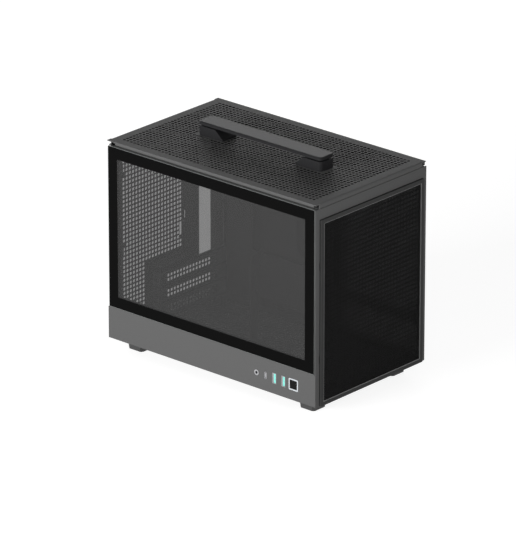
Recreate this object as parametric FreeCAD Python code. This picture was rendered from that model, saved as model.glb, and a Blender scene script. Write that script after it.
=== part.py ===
"""Mini ITX computer case: folded steel chassis, lift-off glass, side panel, cover and dust filters.

Frame: +X is the front of the case, -Y the glass side, +Y the closed side, +Z up.
The origin is at the centre of the footprint, on the surface that the foot pads stand on.
All sizes are in millimetres. Heights named "above the body" start at the chassis's lower edge,
and places named "from rear" start at the outer face of the rear wall.
"""
import FreeCAD
import Part
import math
import os

from FreeCAD import Vector

# Chassis
chassis_length = 333.5      # rear wall's outer face to front panel's outer face
chassis_width = 200.0       # glass's outer face to side panel's outer face
body_height = 250.0         # chassis's lower edge to its top lips
sheet = 0.8                 # thickness of the folded steel
bend = 0.8                  # inside radius of a fold
fit = 0.3                   # gap between pieces that come apart
screw_hole = 3.4            # clearance hole of an M3 screw
screw_head = 5.6
head_height = 1.8

# Ventilation holes: each one stands for a block of the finer holes of the real sheet
wall_pitch = 22.8           # front and rear: four rows of the real 5.7 mm pitch
wall_web = 4.4              # steel left between two holes
flat_pitch = 28.5           # cover and floor: five rows
flat_web = 5.4
mesh_pitch = 24.0           # the side panel's fine mesh, twelve rows
mesh_web = 3.6

# Feet
foot_height = 14.8          # pad's underside to the chassis's lower edge
foot_size = 26.0
foot_taper = 1.6            # how much each side comes in towards the ground
foot_wall = 2.2
foot_corner = 2.6           # bevel of the foot's upright corners
foot_from_end = 28.0        # foot's centre to the end of the chassis
foot_from_side = 27.7       # foot's centre to the side of the chassis
boss_size = 7.0             # the two square bosses inside each foot
boss_offset = 6.5
peg_size = 3.6
peg_length = 2.4            # how far a peg stands above the floor panel
pad_height = 1.4
pad_size = 19.0
pad_recess = 0.7

# Dust filters
filter_height = 3.0         # thickness of a filter's frame
filter_border = 5.0
gauze = 0.5                 # thickness of the woven mesh
top_filter_from_end = 5.95  # filter's end to the end of the chassis
bottom_filter_from_end = 7.75
bottom_filter_from_side = 12.0
front_filter_from_side = 6.85
front_filter_from_top = 13.3
front_filter_rise = 0.8     # its lower edge above the body's
clip_length = 9.0           # the hooks on a filter's long sides
clip_depth = 2.4
clip_thickness = 1.4

# Glass
glass_thickness = 4.0
glass_from_end = 1.75       # glass's edge to the end of the chassis
glass_gap = 0.5             # behind the glass, to the chassis's flanges
stud_size = 3.0
stud_hole_size = 6.6        # hole in the flange that a stud passes through
stud_length = 6.0
socket_size = 8.0
socket_depth = 4.0
stud_from_end = 7.0
stud_from_edge = 12.0

# Strip with the ports, below the glass
strip_height = 41.6
strip_lip = 13.0
strip_hem = 5.0
strip_foot = 8.0
port_height = 20.5          # ports' centre line above the body
board_depth = 10.4          # strip's inner face to the port board
board_thickness = 1.6
board_height = 21.0
board_rear = 231.0          # ends of the port board, from rear
board_front = 314.0
post_size = 4.5
audio_place = 240.6
audio_size = 7.0
audio_bore = 3.6
usb_c_place = 254.9
usb_c_width = 3.4
usb_c_length = 9.2
usb_a_place = 268.8
usb_a_spacing = 14.3
usb_a_width = 6.0
usb_a_length = 13.4
port_wall = 0.6
tongue_thickness = 1.6
button_place = 299.0
ring_size = 14.6
ring_wall = 1.6
button_travel = 1.0
button_depth = 5.0
switch_size = 6.0

# Rear wall
top_lip = 10.0              # depth of the top lips of the rear and front walls
rear_lip_stop = 22.0        # the rear lip ends this far from the closed side
rear_flange = 13.0          # flange behind the glass
rear_side_flange = 15.0     # flange on the closed side
flange_drop = 3.0           # the side flange ends this far below the top
flange_corner = 6.0
rear_field_low = 80.6       # perforated field above the body
rear_field_from_top = 15.4
rear_field_from_side = 27.0 # field's edge to the glass's outer face
rear_field_gap = 8.0        # field's other edge to the port part of the recess
rear_tail_low = 18.0        # the field's lower part, beside the card slots
rear_tail_gap = 2.6         # the tail's edge to the recess
fan_centre = 157.8          # 120 mm fan, above the body
fan_from_ports = 56.5       # fan's centre to the port part of the recess
fan_spacing = 105.0
fan_slot_length = 17.5
fan_slot_width = 4.3

# Recess that holds the port opening and the card slots
recess_depth = 25.0
recess_width = 120.6        # whole width, along the card slots
port_part_width = 52.2      # width of the taller part round the port opening
recess_low = 10.0
recess_step = 77.2          # top of the card slots
recess_high = 240.0
aperture_width = 44.45      # the standard opening for a board's port shield
aperture_height = 158.75
aperture_low = 75.0
slot_pitch = 20.32
slot_first = 61.6           # centre of the upper card slot, above the body
slot_width = 12.6
slot_length = 96.0
slot_end = 12.0             # solid metal between the slot and the recess's end
cover_plate = 18.4
tab_depth = 11.4

# Motherboard tray and what stands beside it
tray_from_wall = 12.2       # the tray's face on the board's side to the closed wall
tray_low = 50.5             # above the body
tray_from_top = 17.0        # its upper edge below the body's top
tray_front = 200.2          # from rear
tray_leg = 16.0
tray_bar = 14.0             # bar that runs on from the tray's lower edge to the front panel
tray_foot = 8.0             # the bar's flange on the front panel
tray_weld = 10.0            # how far the bar laps the back of the tray
window_rear = 67.5
window_front = 159.1
window_low = 77.9
window_from_top = 31.6
window_corner = 5.0
groove_height = 64.0
groove_width = 2.4
groove_depth = 0.4
pillar_flange = 9.0
standoff_height = 6.3
standoff_size = 5.0
hole_first = 10.16          # board's rear edge to its first holes
hole_span_x = 154.94
hole_span_z = 157.48
board_gap = 0.8             # recess plate to the board's rear edge
hole_top = 220.65           # upper board holes, above the body
rail_from_top = 19.7        # rail's upper face below the body's top
rail_height = 11.6
chassis_gap = 0.8           # between the chassis and the side panel
drive_rear = 132.3          # plate for a 2.5 inch drive, from rear
drive_low = 83.5
drive_corner = 6.0
drive_span_x = 61.72
drive_span_z = 76.6
drive_hole_low = 102.0

# Floor panel
floor_flange = 6.5
floor_field_end = 20.0      # plain metal at the ends of the floor's field
floor_field_side = 22.0

# Front panel
front_flange = 16.0
front_border = 14.6         # plain border round the perforated field, at the sides
front_field_low = 15.0
front_field_from_top = 14.0
clip_slot_gap = 0.5

# Bracket that steadies a graphics card
support_rear = 152.9
support_from_tray = 99.5    # its edge on the glass side to the tray
support_bar = 13.0
support_head = 25.0
support_waist = 9.0
support_high = 122.0
support_waist_low = 56.0    # ends of the waist below the bracket's top
support_waist_high = 36.0
support_bevel = 4.0
support_flare = 8.0
support_tip = 6.0
support_base = 40.0
support_foot = 13.0
support_sheet = 1.0

# Side panel
panel_return = 4.6
mesh_rear = 206.0           # perforated field, from rear
mesh_front = 318.0
mesh_low = 18.0
mesh_from_top = 14.0
latch_width = 7.0
latch_height = 14.0
latch_from_top = 38.0       # latch's middle below the body's top
tab_width = 3.0
tab_height = 8.0
tab_reach = 3.4

# Top cover and its handle
cover_sheet = 1.0
cover_height = 6.0          # the short skirts, with the plate
cover_inset = 0.5
skirt_height = 14.0         # the long skirts, with the plate
skirt_from_end = 8.0
skirt_corner = 4.0
skirt_hole = 4.4
cover_border = 13.0
catch_size = 7.0
catch_depth = 5.6
handle_length = 196.0
handle_width = 25.4
handle_bar_height = 4.0
handle_gap = 1.7            # shadow gap between the bar and its blocks
block_height = 12.0
block_length = 40.0
block_ramp = 12.0
handle_corner = 5.0
handle_edge = 1.2
neck_margin = 4.0

# Places worked out from the sizes above
rear = -(chassis_length + filter_height) / 2
front = rear + chassis_length
glass_side = -chassis_width / 2
panel_side = chassis_width / 2
body_low = foot_height
body_high = body_low + body_height
floor_low = body_low + filter_height
floor_high = floor_low + sheet
wall_left = glass_side + glass_thickness + glass_gap
wall_right = panel_side - sheet - chassis_gap
inner_rear = rear + sheet
inner_front = front - sheet
recess_plane = rear + recess_depth
rail_high = body_high - rail_from_top
rail_low = rail_high - rail_height
tray_side = wall_right - tray_from_wall
tray_back = tray_side + sheet
strip_top = body_low + strip_height
cover_low = body_high + fit
cover_high = cover_low + cover_height
skirt_side = -wall_left - sheet - 0.5
port_z = body_low + port_height
board_face = glass_side + sheet + board_depth
rear_lip_end = panel_side - rear_lip_stop
recess_left = tray_side - recess_width
recess_split = tray_side - port_part_width
rear_field_left = glass_side + rear_field_from_side
rear_field_right = recess_split - rear_field_gap
rear_tail_right = recess_left - rear_tail_gap
fan_side = recess_split - fan_from_ports
support_side = tray_side - support_from_tray
glass_length = chassis_length - 2 * glass_from_end


def from_rear(distance):
    """X of a place given by its distance from the rear wall's outer face."""
    return rear + distance


def above_body(height):
    """Z of a place given by its height above the chassis's lower edge."""
    return body_low + height


def box(x, y, z):
    """Block between three pairs of limits."""
    return Part.makeBox(x[1] - x[0], y[1] - y[0], z[1] - z[0], Vector(x[0], y[0], z[0]))


def around(centre, size):
    """Limits of a stretch of the given size about a centre."""
    return (centre - size / 2, centre + size / 2)


def rod(start, axis, diameter, length):
    """Round bar that starts at a point and runs along an axis."""
    return Part.makeCylinder(diameter / 2, length, start, axis)


def in_plane(plane, level):
    """Function that lifts a 2D point of a profile into space, at a level across its plane."""
    lifts = {
        "xy": lambda u, v: Vector(u, v, level),
        "xz": lambda u, v: Vector(u, level, v),
        "yz": lambda u, v: Vector(level, u, v),
    }
    return lifts[plane]


def extruded(edges, plane, span):
    """Solid of a closed 2D outline, run from one level to another across its plane."""
    lift = in_plane(plane, span[0])
    shapes = []
    for points in edges:
        raised = [lift(*point) for point in points]
        if len(raised) == 2:
            shapes.append(Part.LineSegment(*raised).toShape())
        else:
            shapes.append(Part.Arc(*raised).toShape())
    run = in_plane(plane, span[1])(0, 0) - in_plane(plane, span[0])(0, 0)
    return Part.Face(Part.Wire(shapes)).extrude(run)


def rounded_outline(points, radii):
    """Edges of a closed polygon whose corners are rounded, each by its own radius."""
    count = len(points)
    ends = []
    edges = []
    for i, (u, v) in enumerate(points):
        before = points[i - 1]
        after = points[(i + 1) % count]
        entry = math.atan2(v - before[1], u - before[0])
        leave = math.atan2(after[1] - v, after[0] - u)
        turn = (leave - entry + math.pi) % (2 * math.pi) - math.pi
        reach = radii[i] * abs(math.tan(turn / 2))
        start = (u - reach * math.cos(entry), v - reach * math.sin(entry))
        end = (u + reach * math.cos(leave), v + reach * math.sin(leave))
        ends.append((start, end))
        if reach > 0:
            side = 1 if turn > 0 else -1
            middle = (entry + leave) / 2 if abs(leave - entry) < math.pi else (entry + leave) / 2 + math.pi
            swing = side * radii[i]
            centre = (start[0] - swing * math.sin(entry), start[1] + swing * math.cos(entry))
            crown = (centre[0] + swing * math.sin(middle), centre[1] - swing * math.cos(middle))
            edges.append((start, crown, end))
    straight = [(ends[i - 1][1], ends[i][0]) for i in range(count)]
    ordered = []
    arcs = iter(edges)
    for i in range(count):
        if math.dist(*straight[i]) > 1e-6:
            ordered.append(straight[i])
        if ends[i][0] != ends[i][1]:
            ordered.append(next(arcs))
    return ordered


def rounded_rectangle(u, v, radius):
    """Outline of a rectangle between two pairs of limits, with its corners rounded."""
    points = [(u[0], v[0]), (u[1], v[0]), (u[1], v[1]), (u[0], v[1])]
    return rounded_outline(points, [radius] * 4)


def folded(path, thickness=sheet, radius=bend):
    """Outline of a sheet folded along a path, the path being the middle of its thickness."""
    headings = [math.atan2(b[1] - a[1], b[0] - a[0]) for a, b in zip(path, path[1:])]
    sides = {1: [], -1: []}
    for side in sides:
        for i, (u, v) in enumerate(path):
            heading = headings[min(i, len(headings) - 1)]
            previous = headings[max(i - 1, 0)]
            turn = (heading - previous + math.pi) % (2 * math.pi) - math.pi
            middle = previous + turn / 2
            reach = side * thickness / 2 / math.cos(turn / 2)
            point = (u - reach * math.sin(middle), v + reach * math.cos(middle))
            inside = turn * side > 0
            corner = 0 if abs(turn) < 1e-6 else radius if inside else radius + thickness
            sides[side].append((point, corner))
    ring = sides[-1] + sides[1][::-1]
    return rounded_outline([point for point, _ in ring], [corner for _, corner in ring])


def spaced(low, high, pitch):
    """Evenly spaced places, as many as the stretch holds, centred in it."""
    count = max(1, int((high - low) // pitch))
    first = (low + high - (count - 1) * pitch) / 2
    return [first + i * pitch for i in range(count)]


def hole_field(u, v, pitch, web, plane, span, keep_out=()):
    """Square holes in rows over a rectangle, as bars to be cut through a sheet."""
    half = (pitch - web) / 2
    bars = []
    for a in spaced(*u, pitch):
        for b in spaced(*v, pitch):
            blocked = any(abs(a - c[0]) < half + c[2] and abs(b - c[1]) < half + c[3] for c in keep_out)
            if not blocked:
                square = rounded_rectangle((a - half, a + half), (b - half, b + half), 0)
                bars.append(extruded(square, plane, span))
    return Part.makeCompound(bars)


def fused(*shapes):
    """One solid from pieces of the same sheet or moulding."""
    return shapes[0].fuse(list(shapes[1:])).removeSplitter()


def tapered(low, high):
    """Solid between two rings of corners at different heights, joined by flat sides."""
    around_low = list(zip(low, low[1:] + low[:1]))
    around_high = list(zip(high, high[1:] + high[:1]))
    loops = [low, high] + [[a, b, d, c] for (a, b), (c, d) in zip(around_low, around_high)]
    shell = Part.makeShell([Part.Face(Part.makePolygon(loop + loop[:1])) for loop in loops])
    shell.sewShape()
    return Part.makeSolid(shell)


def foot_places():
    """Names and centres of the four feet."""
    ends = (("rear", rear + foot_from_end), ("front", front - foot_from_end))
    sides = (("left", glass_side + foot_from_side), ("right", panel_side - foot_from_side))
    return {end + "_" + side: (x, y) for end, x in ends for side, y in sides}


def boss_places(foot):
    """Centres of the two bosses of a foot, on its diagonal."""
    return [(foot[0] - boss_offset, foot[1] - boss_offset), (foot[0] + boss_offset, foot[1] + boss_offset)]


def floor_flange_top():
    """Top of the floor's flange on the closed side."""
    return above_body(filter_height + floor_flange) + sheet


def make_floor_panel():
    """Perforated floor, folded up on all four sides."""
    middle = sheet / 2
    across = folded([
        (glass_side + sheet + middle, floor_low + floor_flange),
        (glass_side + sheet + middle, floor_low + middle),
        (wall_right - middle, floor_low + middle),
        (wall_right - middle, floor_flange_top()),
    ])
    trough = extruded(across, "yz", (inner_rear + sheet, inner_front - sheet))
    lengthwise = folded([
        (inner_rear + middle, floor_low + floor_flange),
        (inner_rear + middle, floor_low + middle),
        (inner_front - middle, floor_low + middle),
        (inner_front - middle, floor_low + floor_flange),
    ])
    relief = sheet + bend + sheet
    pan = extruded(lengthwise, "xz", (glass_side + sheet + relief, wall_right - relief))
    floor = fused(trough, pan)
    clear = foot_size / 2
    keep_out = [(x, y, clear, clear) for x, y in foot_places().values()]
    base_x = from_rear(support_rear) + support_foot / 2
    base_y = support_side + support_base / 2
    keep_out.append((base_x, base_y, support_foot / 2, support_base / 2))
    field = hole_field(
        (inner_rear + floor_field_end, inner_front - floor_field_end),
        (glass_side + floor_field_side, tray_side - sheet),
        flat_pitch, flat_web, "xy", (floor_low - sheet, floor_high + sheet), keep_out,
    )
    pegs = []
    through = (floor_low - sheet, floor_high + sheet)
    for foot in foot_places().values():
        for x, y in boss_places(foot):
            pegs.append(box(around(x, peg_size + fit), around(y, peg_size + fit), through))
    return floor.cut(field).cut(Part.makeCompound(pegs))


def l_shaped(margin, x):
    """The recess's outline run along X: the card slots' part and the taller port part."""
    low = above_body(recess_low) + margin
    step = above_body(recess_step) - margin
    high = above_body(recess_high) - margin
    left = recess_left + margin
    split = recess_split + margin
    right = tray_side - margin
    points = [(left, low), (right, low), (right, high), (split, high), (split, step), (left, step)]
    return extruded(rounded_outline(points, [0] * len(points)), "yz", x)


def slot_centres():
    """Heights of the three card slots."""
    return [above_body(slot_first) - i * slot_pitch for i in range(3)]


def aperture_limits():
    """The port opening in the recess's plate: its Y and Z limits."""
    right = tray_side - standoff_height + 0.6
    low = above_body(aperture_low)
    return (right - aperture_width, right), (low, low + aperture_height)


def make_rear_wall():
    """Rear wall: top lip, flanges on both sides, fan slots and the opening for the recess."""
    middle = sheet / 2
    wall = box((rear, inner_rear), (wall_left, wall_right), (body_low, body_high))
    lip = folded([(rear + middle, above_body(recess_high)), (rear + middle, body_high - middle),
                  (rear + top_lip, body_high - middle)])
    lip_start = wall_left + rear_flange / 2
    lip_solid = extruded(lip, "xz", (lip_start, rear_lip_end))
    behind_glass = extruded(
        folded([(rear + rear_flange, wall_left + middle), (rear + middle, wall_left + middle),
                (rear + middle, wall_left + rear_flange)]),
        "xy", (strip_top, body_high - sheet - fit),
    )
    side_low = floor_flange_top() + fit
    side_top = body_high - flange_drop
    side_points = [(rear, side_low), (rear + rear_side_flange, side_low),
                   (rear + rear_side_flange, side_top), (rear, side_top)]
    side_outline = rounded_outline(side_points, [0, 0, flange_corner, 0])
    side = extruded(side_outline, "xz", (wall_right - sheet, wall_right))
    notch = box((rear - sheet, rear + rear_side_flange), (rear_lip_end, rear_lip_end + top_lip / 2),
                (body_high - top_lip, body_high + sheet))
    through = (rear - sheet, inner_rear + sheet)
    wall = fused(wall.cut(notch), lip_solid, behind_glass, side)
    heights = [above_body(rear_tail_low), above_body(rear_field_low), body_high - rear_field_from_top]
    field = hole_field((rear_field_left, rear_field_right), heights[1:], wall_pitch, wall_web, "yz", through)
    tail = hole_field((rear_field_left, rear_tail_right), heights[:2], wall_pitch, wall_web, "yz", through)
    slots = []
    for y in (fan_side - fan_spacing / 2, fan_side + fan_spacing / 2):
        for z in (fan_centre - fan_spacing / 2, fan_centre + fan_spacing / 2):
            slots.append(box(through, around(y, fan_slot_width), around(above_body(z), fan_slot_length)))
    stud_z = (strip_top + stud_from_edge, body_high - stud_from_edge)
    stud_x = -glass_length / 2 + glass_centre() + stud_from_end
    holes = [stud_hole(stud_x, z) for z in stud_z]
    recess = l_shaped(sheet, through)
    tabs = tab_slots(rear + rear_side_flange / 2)
    return wall.cut(field).cut(tail).cut(Part.makeCompound(slots + holes)).cut(recess).cut(tabs)


def glass_centre():
    """X of the glass panel's centre, midway between the walls."""
    return (rear + front) / 2


def stud_hole(x, z):
    """Hole in a flange behind the glass, for one ball stud."""
    return prism(x, z, stud_hole_size, "xz", (wall_left - sheet, wall_left + 2 * sheet), 8)


def make_io_slot_bracket():
    """Pressed recess behind the rear wall: the port opening and three card slots."""
    outside = l_shaped(0, (inner_rear, recess_plane))
    shell = outside.cut(l_shaped(sheet, (inner_rear - sheet, recess_plane - sheet)))
    wide, tall = aperture_limits()
    through = (recess_plane - 2 * sheet, recess_plane + sheet)
    cuts = [extruded(rounded_rectangle(wide, tall, 1.5), "yz", through)]
    for z in slot_centres():
        start = recess_left + slot_end
        cuts.append(box(through, (start, start + slot_length), around(z, slot_width)))
    return shell.cut(Part.makeCompound(cuts))


def make_slot_cover(z):
    """Cover of one card slot: a perforated plate with a tab folded over the recess's end."""
    inner_face = recess_plane + sheet
    plate = box((recess_plane, inner_face), (recess_left, tray_side - 2 * fit), around(z, cover_plate))
    tab = box((inner_face - tab_depth, inner_face), (recess_left - sheet, recess_left),
              around(z, cover_plate))
    start = recess_left + slot_end
    field = hole_field((start, start + slot_length), (z - slot_width / 2, z + slot_width / 2),
                       slot_width, wall_web, "yz", (recess_plane - sheet, recess_plane + 2 * sheet))
    return fused(plate, tab).cut(field)


def prism(u, v, size, plane, span, sides=6):
    """Prism about a centre, its size measured over the corners."""
    turns = [2 * math.pi * i / sides for i in range(sides)]
    points = [(u + size / 2 * math.cos(turn), v + size / 2 * math.sin(turn)) for turn in turns]
    return extruded(rounded_outline(points, [0] * sides), plane, span)


def make_front_panel():
    """Perforated front: top lip, flange behind the glass and slots for the filter's hooks."""
    middle = sheet / 2
    face = box((inner_front, front), (glass_side, panel_side), (body_low, body_high))
    lip = folded([(front - middle, body_high - front_field_from_top), (front - middle, body_high - middle),
                  (front - top_lip, body_high - middle)])
    lip_reach = skirt_side - sheet - 2 * fit
    lip_solid = extruded(lip, "xz", (-lip_reach, lip_reach))
    side = extruded(
        folded([(front - front_flange, wall_left + middle), (inner_front - middle, wall_left + middle),
                (inner_front - middle, wall_left + front_border)]),
        "xy", (strip_top, body_high - sheet - fit),
    )
    field = hole_field((glass_side + front_border, panel_side - front_border),
                       (above_body(front_field_low), body_high - front_field_from_top),
                       wall_pitch, wall_web, "yz", (inner_front - 2 * sheet, front + sheet))
    slots = []
    for y, z in front_clips():
        wide = clip_thickness + 2 * clip_slot_gap
        long = clip_length + 2 * clip_slot_gap
        slots.append(box((inner_front - 2 * sheet, front + sheet), around(y, wide), around(z, long)))
    stud_x = glass_centre() + glass_length / 2 - stud_from_end
    holes = [stud_hole(stud_x, z) for z in (strip_top + stud_from_edge, body_high - stud_from_edge)]
    return fused(face, lip_solid, side).cut(field).cut(Part.makeCompound(slots + holes))


def front_clips():
    """Y and Z of the front filter's four hooks."""
    y, z, _ = front_filter_box()
    reach = y[1] - clip_thickness / 2
    return [(a, z[0] + share * (z[1] - z[0])) for a in (-reach, reach) for share in (0.25, 0.75)]


def port_windows():
    """Openings in the strip for the sockets and the power button."""
    span = (glass_side - sheet, glass_side + 2 * sheet)
    audio = Vector(from_rear(audio_place), span[0], port_z)
    windows = [rod(audio, Vector(0, 1, 0), audio_size + fit, 3 * sheet)]
    usb_c_x = around(from_rear(usb_c_place), usb_c_width + fit)
    usb_c_z = around(port_z, usb_c_length + fit)
    windows.append(extruded(rounded_rectangle(usb_c_x, usb_c_z, usb_c_width / 2.2), "xz", span))
    for x in usb_a_places():
        windows.append(box(around(x, usb_a_width + fit), span, around(port_z, usb_a_length + fit)))
    button_x = around(from_rear(button_place), ring_size + fit)
    windows.append(box(button_x, span, around(port_z, ring_size + fit)))
    return Part.makeCompound(windows)


def usb_a_places():
    """X of the two USB-A sockets."""
    return [from_rear(usb_a_place), from_rear(usb_a_place + usb_a_spacing)]


def make_io_strip():
    """Strip below the glass: folded in at the top and the bottom, with the ports' windows."""
    middle = sheet / 2
    section = folded([
        (glass_side + strip_lip, strip_top - strip_hem),
        (glass_side + strip_lip, strip_top - middle),
        (glass_side + middle, strip_top - middle),
        (glass_side + middle, body_low + middle),
        (glass_side + strip_foot, body_low + middle),
    ])
    strip = extruded(section, "yz", (inner_rear, inner_front))
    heights = (body_low + middle, strip_top - middle)
    rear_end = box((rear, inner_rear), (glass_side + middle, wall_left - fit), heights)
    return fused(strip, rear_end).cut(port_windows())


def make_motherboard_tray():
    """Tray with the processor window, a cable groove and a leg that folds out to the closed side."""
    middle = sheet / 2
    edge = from_rear(tray_front)
    top = body_high - tray_from_top
    low = above_body(tray_low)
    plate = box((inner_rear, edge), (tray_side, tray_back), (low, top))
    leg_path = [(edge - tray_leg, tray_side + middle), (edge - middle, tray_side + middle),
                (edge - middle, wall_right - middle), (edge + pillar_flange, wall_right - middle)]
    leg_height = (low + tray_bar, rail_low - fit)
    leg = extruded(folded(leg_path), "xy", leg_height)
    corner = box((edge - 3 * sheet, edge + sheet), (tray_side - sheet, tray_back + sheet), leg_height)
    window = extruded(
        rounded_rectangle((from_rear(window_rear), from_rear(window_front)),
                          (above_body(window_low), body_high - window_from_top), window_corner),
        "xz", (tray_side - sheet, tray_back + sheet))
    groove = box((from_rear(recess_depth + 2 * window_corner), from_rear(window_front)),
                 (tray_side, tray_side + groove_depth),
                 around(above_body(groove_height), groove_width))
    slots = tab_slots(edge + pillar_flange / 2)
    return fused(plate.cut(corner), leg).cut(window).cut(groove).cut(slots)


def make_tray_bar():
    """Bar welded behind the tray's lower edge, which runs to the front panel and folds on to it."""
    low = above_body(tray_low)
    y = tray_back + sheet / 2
    path = [(from_rear(tray_front) - tray_weld, y), (inner_front - sheet / 2, y),
            (inner_front - sheet / 2, tray_back - tray_foot)]
    return extruded(folded(path), "xy", (low, low + tray_bar))


def standoff_places():
    """X and Z of the four holes of a mini ITX board."""
    x = recess_plane + board_gap + hole_first
    z = above_body(hole_top)
    return [(a, b) for a in (x, x + hole_span_x) for b in (z - hole_span_z, z)]


def make_standoffs():
    """Four six-sided standoffs that carry the board."""
    solids = []
    for x, z in standoff_places():
        body = prism(x, z, standoff_size, "xz", (tray_side - standoff_height, tray_side))
        bore = rod(Vector(x, tray_side - standoff_height, z), Vector(0, 1, 0), 2.5, standoff_height - sheet)
        solids.append(body.cut(bore))
    return Part.makeCompound(solids)


def make_top_rail():
    """Angle rail along the closed side, between the rear and front walls."""
    middle = sheet / 2
    high = rail_high
    upright = wall_right - sheet - middle
    path = [(upright, rail_low), (upright, high - middle), (tray_back, high - middle)]
    section = folded(path)
    return extruded(section, "yz", (inner_rear, inner_front))


def make_drive_plate():
    """Plate behind the tray for a 2.5 inch drive, hung from the rail."""
    face = wall_right - 2 * sheet
    edge = from_rear(tray_front) - sheet
    start = from_rear(drive_rear)
    low = above_body(drive_low)
    high = rail_high - sheet - bend
    points = [(start + drive_corner, low), (edge, low), (edge, high), (start, high),
              (start, low + drive_corner)]
    plate = extruded(rounded_outline(points, [0] * 5), "xz", (face - sheet, face))
    start = face - 2 * sheet
    holes = [rod(Vector(x, start, z), Vector(0, 1, 0), screw_hole, 3 * sheet) for x, z in drive_holes()]
    return plate.cut(Part.makeCompound(holes))


def drive_holes():
    """X and Z of the drive's four screws."""
    middle = (from_rear(drive_rear) + from_rear(tray_front) - sheet) / 2
    low = above_body(drive_hole_low)
    return [(middle + side * drive_span_x / 2, z) for side in (-1, 1) for z in (low, low + drive_span_z)]


def make_card_support():
    """Bracket that steadies a long graphics card: base, upright and a wider head with a hole."""
    x = from_rear(support_rear)
    middle = support_sheet / 2
    base_low = floor_high
    base = extruded(
        folded([(x + middle, base_low + support_bar), (x + middle, base_low + middle),
                (x + support_foot, base_low + middle)], support_sheet, bend),
        "xz", (support_side, support_side + support_base))
    trim = box((x - support_sheet, x + support_sheet + fit),
               (support_side + support_bar, support_side + support_base + 1),
               (base_low + support_sheet + 2 * bend, base_low + 2 * support_bar))
    left = support_side
    bar = left + support_bar
    waist = left + support_waist
    head = left + support_head
    top = floor_high + support_high
    waist_low = top - support_waist_low
    waist_high = top - support_waist_high
    outline = [(left, base_low + support_bar / 2), (bar, base_low + support_bar / 2), (bar, waist_low),
               (waist, waist_low + support_bevel), (waist, waist_high), (bar, waist_high + support_flare),
               (head, top - support_tip), (head, top), (left + support_bevel, top - support_tip),
               (left, top - support_tip - support_flare)]
    upright = extruded(rounded_outline(outline, [0] * len(outline)), "yz", (x, x + support_sheet))
    hole_start = Vector(x - support_sheet, head - screw_hole * 1.5, top - screw_hole * 2)
    hole = rod(hole_start, Vector(1, 0, 0), screw_hole, 3 * support_sheet)
    return fused(base.cut(trim), upright).cut(hole)


def make_glass_panel():
    """Flat tempered glass with bevelled corners."""
    x = around(glass_centre(), glass_length)
    outline = rounded_rectangle(x, (strip_top + fit, body_high), 1.5)
    return extruded(outline, "xz", (glass_side, glass_side + glass_thickness))


def stud_corners():
    """X and Z of the four ball studs behind the glass."""
    centre = glass_centre()
    reach = glass_length / 2 - stud_from_end
    heights = (strip_top + stud_from_edge, body_high - stud_from_edge)
    return [(centre + side * reach, z) for side in (-1, 1) for z in heights]


def make_glass_studs():
    """Four studs bonded to the glass."""
    start = glass_side + glass_thickness
    solids = []
    for x, z in stud_corners():
        solids.append(prism(x, z, stud_size, "xz", (start, start + stud_length), 8))
    return Part.makeCompound(solids)


def make_stud_sockets():
    """Four moulded sockets behind the flanges, which the glass's studs snap into."""
    solids = []
    for x, z in stud_corners():
        start = wall_left + sheet
        block = box(around(x, socket_size), (start, start + socket_depth), around(z, socket_size))
        clear = stud_size + 2 * fit
        bore = box(around(x, clear), (start - 1, start + stud_length), around(z, clear))
        solids.append(block.cut(bore))
    return Part.makeCompound(solids)


def panel_limits():
    """X and Z limits of the side panel."""
    return (inner_rear + fit, inner_front - fit), (body_low + fit, body_high - fit)


def make_side_panel():
    """Closed side panel: folded in at the top and the front, with a fine mesh over the power supply."""
    x, z = panel_limits()
    middle = sheet / 2
    y = panel_side - middle
    returned = panel_side - panel_return
    upright = extruded(folded([(y, z[0]), (y, z[1] - middle), (returned, z[1] - middle)]), "yz",
                       (inner_rear + rear_side_flange + fit, x[1] - 2 * sheet))
    plate = box(x, (panel_side - sheet, panel_side), (z[0], z[1] - sheet))
    fold = extruded(folded([(x[0], y), (x[1] - middle, y), (x[1] - middle, returned)]), "xy",
                    (floor_flange_top() + fit, rail_low - fit))
    across = (from_rear(mesh_rear), from_rear(mesh_front))
    upwards = (above_body(mesh_low), body_high - mesh_from_top)
    through = (panel_side - 2 * sheet, panel_side + sheet)
    field = hole_field(across, upwards, mesh_pitch, mesh_web, "xz", through)
    latch = box((x[1] - latch_width, x[1] + sheet), (returned - 2 * sheet, panel_side - sheet - fit),
                around(body_high - latch_from_top, latch_height))
    return fused(plate, upright, fold).cut(field).cut(latch)


def tab_heights():
    """Heights of the side panel's tabs."""
    return (above_body(window_low), body_high - window_from_top - tab_height)


def tab_slots(x):
    """Slots in an upright flange for the side panel's tabs."""
    across = (wall_right - 2 * sheet, wall_right + sheet)
    return Part.makeCompound([box(around(x, tab_width + 2 * fit), across, around(z, tab_height + 2 * fit))
                              for z in tab_heights()])


def make_side_panel_tabs():
    """Tabs that hold the side panel in the flanges of the rear wall and of the tray."""
    solids = []
    start = panel_side - sheet
    for x in (rear + rear_side_flange / 2, from_rear(tray_front) + pillar_flange / 2):
        for z in tab_heights():
            solids.append(box(around(x, tab_width), (start - tab_reach, start), around(z, tab_height)))
    return Part.makeCompound(solids)


def cover_limits():
    """X and Y limits of the top cover's plate."""
    return (rear + cover_inset, front - cover_inset), (glass_side + cover_inset, panel_side - cover_inset)


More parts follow.
